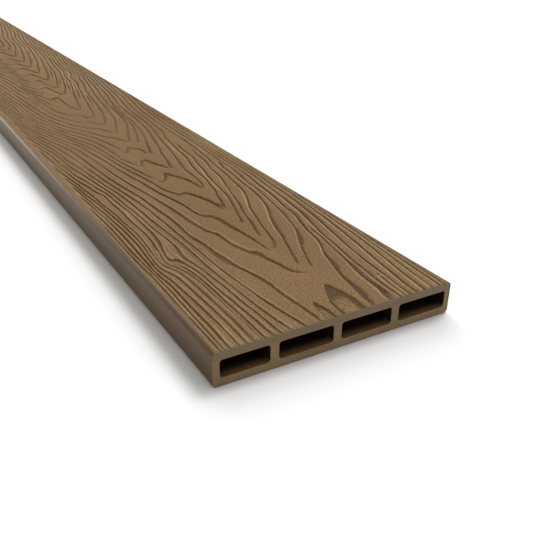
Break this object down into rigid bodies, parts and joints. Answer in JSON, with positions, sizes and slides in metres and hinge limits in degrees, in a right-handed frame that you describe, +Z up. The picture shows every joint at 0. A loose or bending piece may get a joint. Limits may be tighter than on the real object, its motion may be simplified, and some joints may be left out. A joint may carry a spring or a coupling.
{
  "type": "composite fence board",
  "caption": "Hollow extruded wood-plastic composite board with an embossed wood-grain face, slid into or fixed to fence posts as infill.",
  "frame": {"origin": "middle of the underside, at the board's lowest face", "axes": "+X along the board's length, +Y across its width away from the narrow chamber, +Z up out of the embossed face"},
  "size_m": [1.8, 0.15, 0.02],
  "materials": {
    "composite": "matte"
  },
  "bodies": {
    "root": {"fence_board": "composite"}
  },
  "joints": []
}
